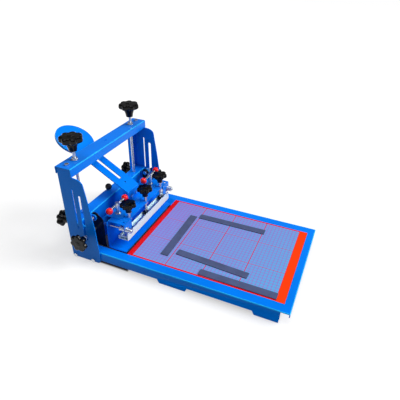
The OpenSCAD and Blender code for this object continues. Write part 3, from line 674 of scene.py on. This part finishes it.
# threaded steel by the axis of its thread, and plain steel
THREADED = {
    "Z": ("left_height_screw", "right_height_screw", "left_clamp_screw",
          "middle_clamp_screw", "right_clamp_screw"),
    "Y": ("left_lock_stud", "right_lock_stud", "fore_aft_studs", "left_thumb_nuts",
          "right_thumb_nuts"),
    "X": ("left_side_screw", "right_side_screw"),
}
PLAIN = ("upright_bolts", "upright_nuts", "bar_bolts", "bar_nuts", "arm_bolts",
         "carriage_nuts", "stud_nuts", "bracket_nuts", "weight_bolt", "weight_nut",
         "hinge_pins", "side_bosses", "left_handle", "right_handle", "board_screws",
         "bumper_stem")


class PRESS_OT_sheet_metal(bpy.types.Operator):
    """Rounds and paints the folded sheet of the base, uprights, carriage and head"""
    bl_idname = "press.sheet_metal"
    bl_label = "Folded sheet"

    def execute(self, context):
        paint = powder_coat("Blue powder coat", colours().paint, sizes().peel,
                            PAINT_SHEEN)
        # the lighter coat on folds and cut edges is a painted highlight
        edge = powder_coat("Blue powder coat, painted edge highlight", colours().edge, sizes().peel,
                           EDGE_SHEEN)
        for name, pairs in FOLDS.items():
            corners = dict(zip("-+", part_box(name)))
            lines = [{axis: corners[end]["xyz".index(axis)] for axis, end in pair}
                     for pair in pairs]
            softened(name, sizes().cut_radius, paint, lines, sizes().fold_radius, edge)
        return {"FINISHED"}


class PRESS_OT_dark_parts(bpy.types.Operator):
    """Finishes the head's cheeks, the clamp feet and the ball bumper"""
    bl_idname = "press.dark_parts"
    bl_label = "Dark parts"

    def execute(self, context):
        # the cheeks' near black is partly their own finish and partly painted shade of
        # the deep shade there
        softened("head_cheeks", sizes().cut_radius, powder_coat(
            "Black powder coat and painted shade", colours().cheek_black_and_shade, sizes().peel, DARK_SHEEN))
        softened("bar_feet", sizes().cut_radius, moulded_plastic(
            "Black nylon foot", colours().plastic, 0.4, 0.4))
        dress(nodes["bumper_ball"], matt_sheet(
            "Black bumper rubber", colours().rubber, 1.2, 0.42))
        return {"FINISHED"}


class PRESS_OT_board(bpy.types.Operator):
    """Finishes the board, its printed mat and the loose strips"""
    bl_idname = "press.board"
    bl_label = "Printing board"

    def execute(self, context):
        dress(nodes["platen_board"], fibreboard("Brown fibreboard", colours().board))
        dress(nodes["grid_mat"], grid_film("Printed grid film", colours()))
        # the strips' near black sides are painted shade
        softened("registration_strips", sizes().small_radius, matt_sheet(
            "Slate grey strip", colours().strip, 0.8, 0.5, colours().strip_side_shade))
        return {"FINISHED"}


class PRESS_OT_knobs(bpy.types.Operator):
    """Moulds the star knobs of the height, lock, side and clamp screws"""
    bl_idname = "press.knobs"
    bl_label = "Star knobs"

    def execute(self, context):
        made = moulded_plastic("Black moulded phenolic", colours().plastic, 0.12, 0.22)
        for kind, (size, hub_r, hub_h, head_h, places) in KNOBS.items():
            like = star_knob("pattern_" + kind, size, hub_r, hub_h, head_h, made)
            for node, way in places.items():
                place_knob(node, like, way)
            bpy.data.objects.remove(like)
        return {"FINISHED"}


class PRESS_OT_grips(bpy.types.Operator):
    """Gives the ball grips their red moulded skin"""
    bl_idname = "press.grips"
    bl_label = "Ball grips"

    def execute(self, context):
        made = moulded_plastic("Red moulded ABS", colours().grip, 0.22, 0.4)
        for node in ("left_grips", "right_grips"):
            dress(nodes[node], made)
        return {"FINISHED"}


class PRESS_OT_steel(bpy.types.Operator):
    """Plates the screws, studs, bolts and nuts"""
    bl_idname = "press.steel"
    bl_label = "Plated steel"

    def execute(self, context):
        zinc = colours().zinc
        threads = {axis: zinc_plate("Zinc plated thread " + axis, zinc, axis)
                   for axis in "XYZ"}
        plain = zinc_plate("Bright zinc plate", zinc)
        for axis, threaded in THREADED.items():
            for node in threaded:
                dress(nodes[node], threads[axis])
        for node in PLAIN:
            softened(node, sizes().small_radius, plain)
        return {"FINISHED"}


class PRESS_OT_clamp_bar(bpy.types.Operator):
    """Finishes the extruded clamp bar"""
    bl_idname = "press.clamp_bar"
    bl_label = "Clamp bar"

    def execute(self, context):
        softened("clamp_bar", sizes().small_radius,
                 anodised_bar("Clear anodised aluminium", colours().bar))
        return {"FINISHED"}


# ---- stage

FLOOR_SIZE = 14.0

# the floor shows half by its own glow and half by its shading, which keeps the shadow
GLOW, GLOW_SHARE = 1.1, 0.5
# the floor's grey for the light it throws back up, also the dark grey painted under the
# press as painted shade
FLOOR_WHITE, FLOOR_BOUNCE_AND_SHADE = 0.97, 0.2

# the floor under the press, painted dark grey as painted shade, starts this far under the
# board, and its rim is this soft
UNDER_BOARD, SHADE_RIM = 0.015, 0.006

ROOM_LIGHT = 0.17

# name, direction towards the lamp, strength, and spread in degrees
LAMPS = (("key", (0.33, -0.7, 0.63), 2.9, 35),
         ("top", (-0.1, 0.1, 1.0), 1.0, 50),
         ("fill", (-0.8, -0.35, 0.45), 0.25, 60))

# the camera's lens in millimetres, its shift, its place, and its right and up
LENS, SENSOR = 34.77, 36.0
SHIFT_X, SHIFT_Y = 0.0226, 0.0287
EYE = (-0.8325, -0.407778, 0.7349)
EYE_RIGHT = Vector((0.4060, -0.9138, 0.0133))
EYE_UP = Vector((0.5071, 0.2373, 0.8287))


def studio_floor():
    # Matt white paper floor: seen and mirrored it glows to near white and keeps
    # the shadow, and it throws little light back up. Under the press, where it is
    # seen through the base's rear opening, it is painted dark grey as painted
    # shade and doesn't glow.
    white = new_material("Pale studio floor", WHITE)
    tree = white.node_tree
    path = add(tree, "ShaderNodeLightPath")
    seen = add(tree, "ShaderNodeMath", {
        0: path.outputs["Is Camera Ray"], 1: path.outputs["Is Glossy Ray"]},
        operation="MAXIMUM")
    low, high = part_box("base_frame")
    low.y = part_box("platen_board")[1].y - UNDER_BOARD
    half, middle = (high - low) / 2, (high + low) / 2
    away = add(tree, "ShaderNodeVectorMath", {
        0: add(tree, "ShaderNodeTexCoord").outputs["Object"],
        1: (middle.x, middle.y, 0.0)}, operation="SUBTRACT")
    far = add(tree, "ShaderNodeVectorMath", {0: away.outputs[0]}, operation="ABSOLUTE")
    past = add(tree, "ShaderNodeVectorMath", {
        0: far.outputs[0], 1: (half.x, half.y, 0.0)}, operation="SUBTRACT")
    past = add(tree, "ShaderNodeSeparateXYZ", {"Vector": past.outputs[0]})
    past = add(tree, "ShaderNodeMath", {
        0: past.outputs["X"], 1: past.outputs["Y"]}, operation="MAXIMUM")
    # 1 away from the press, 0 under it, where the floor is painted as shade
    clear = add(tree, "ShaderNodeMapRange", {
        "Value": past.outputs[0], "From Min": -SHADE_RIM, "From Max": 0.0})
    seen_outside_shade = add(tree, "ShaderNodeMath", {
        0: seen.outputs[0], 1: clear.outputs[0]}, operation="MULTIPLY")
    share = add(tree, "ShaderNodeMath", {
        0: seen_outside_shade.outputs[0], 1: GLOW_SHARE}, operation="MULTIPLY")
    # white where seen, dark grey under the press: painted shade
    grey = add(tree, "ShaderNodeMapRange", {
        "Value": seen_outside_shade.outputs[0], "To Min": FLOOR_BOUNCE_AND_SHADE, "To Max": FLOOR_WHITE})
    matt = add(tree, "ShaderNodeBsdfDiffuse", {"Color": grey.outputs[0]})
    glow = add(tree, "ShaderNodeEmission", {"Color": WHITE, "Strength": GLOW})
    return close_material(white, add(tree, "ShaderNodeMixShader", {
        0: share.outputs[0], 1: matt.outputs[0], 2: glow.outputs[0]}))


def white_room():
    """A world that looks white and lights the press softly from all sides."""
    world = bpy.data.worlds.new("Soft white room")
    world.use_nodes = True
    tree = world.node_tree
    tree.nodes.clear()
    path = add(tree, "ShaderNodeLightPath")
    seen = add(tree, "ShaderNodeMath", {
        0: path.outputs["Is Camera Ray"], 1: path.outputs["Is Transmission Ray"]},
        operation="MAXIMUM")
    level = add(tree, "ShaderNodeMapRange", {
        "Value": seen.outputs[0], "To Min": ROOM_LIGHT, "To Max": 1.0})
    sky = add(tree, "ShaderNodeBackground", {
        "Color": WHITE, "Strength": level.outputs[0]})
    add(tree, "ShaderNodeOutputWorld", {"Surface": sky.outputs[0]})
    return world


class PRESS_OT_stage(bpy.types.Operator):
    """Sets up the floor, the light and the camera"""
    bl_idname = "press.stage"
    bl_label = "Stage"

    def execute(self, context):
        bpy.ops.object.select_all(action="DESELECT")
        bpy.ops.mesh.primitive_plane_add(size=FLOOR_SIZE, location=(0, 0, 0))
        floor = context.object
        floor.name = "floor"
        dress(floor, studio_floor())
        context.scene.world = white_room()

        for name, towards, strength, spread in LAMPS:
            lamp = bpy.data.lights.new(name, "SUN")
            lamp.energy = strength
            lamp.angle = math.radians(spread)
            holder = bpy.data.objects.new(name, lamp)
            context.scene.collection.objects.link(holder)
            aim = Vector(towards).to_track_quat("Z", "Y")
            holder.matrix_world = aim.to_matrix().to_4x4()

        eye = bpy.data.cameras.new("photo_view")
        eye.lens = LENS
        eye.sensor_width = SENSOR
        eye.shift_x = SHIFT_X
        eye.shift_y = SHIFT_Y
        eye.clip_start = 0.01
        holder = bpy.data.objects.new("photo_view", eye)
        context.scene.collection.objects.link(holder)
        back = EYE_RIGHT.cross(EYE_UP)
        turn = Matrix((EYE_RIGHT, EYE_UP, back)).transposed().to_4x4()
        holder.matrix_world = Matrix.Translation(EYE) @ turn
        context.scene.camera = holder
        context.scene.view_settings.view_transform = "Standard"
        return {"FINISHED"}


# ---- panel


class PRESS_PT_panel(bpy.types.Panel):
    """Lists the steps that dress the press, with its colours and sizes"""
    bl_idname = "PRESS_PT_panel"
    bl_label = "Screen printing press"
    bl_space_type = "VIEW_3D"
    bl_region_type = "UI"
    bl_category = "Press"

    def draw(self, context):
        layout = self.layout
        for step in STEPS:
            layout.operator(step.bl_idname)
        for group in (context.scene.press_colours, context.scene.press_sizes):
            box = layout.box()
            for key in type(group).__annotations__:
                box.prop(group, key)


STEPS = (PRESS_OT_sheet_metal, PRESS_OT_dark_parts, PRESS_OT_board, PRESS_OT_knobs,
         PRESS_OT_grips, PRESS_OT_steel, PRESS_OT_clamp_bar, PRESS_OT_stage)
CLASSES = (PressColours, PressSizes) + STEPS + (PRESS_PT_panel,)


def register():
    for item in CLASSES:
        bpy.utils.register_class(item)
    bpy.types.Scene.press_colours = PointerProperty(type=PressColours)
    bpy.types.Scene.press_sizes = PointerProperty(type=PressSizes)


def unregister():
    del bpy.types.Scene.press_sizes
    del bpy.types.Scene.press_colours
    for item in reversed(CLASSES):
        bpy.utils.unregister_class(item)


def main():
    register()
    bpy.ops.press.sheet_metal()
    bpy.ops.press.dark_parts()
    bpy.ops.press.board()
    bpy.ops.press.knobs()
    bpy.ops.press.grips()
    bpy.ops.press.steel()
    bpy.ops.press.clamp_bar()
    bpy.ops.press.stage()


if __name__ == "__main__":
    main()
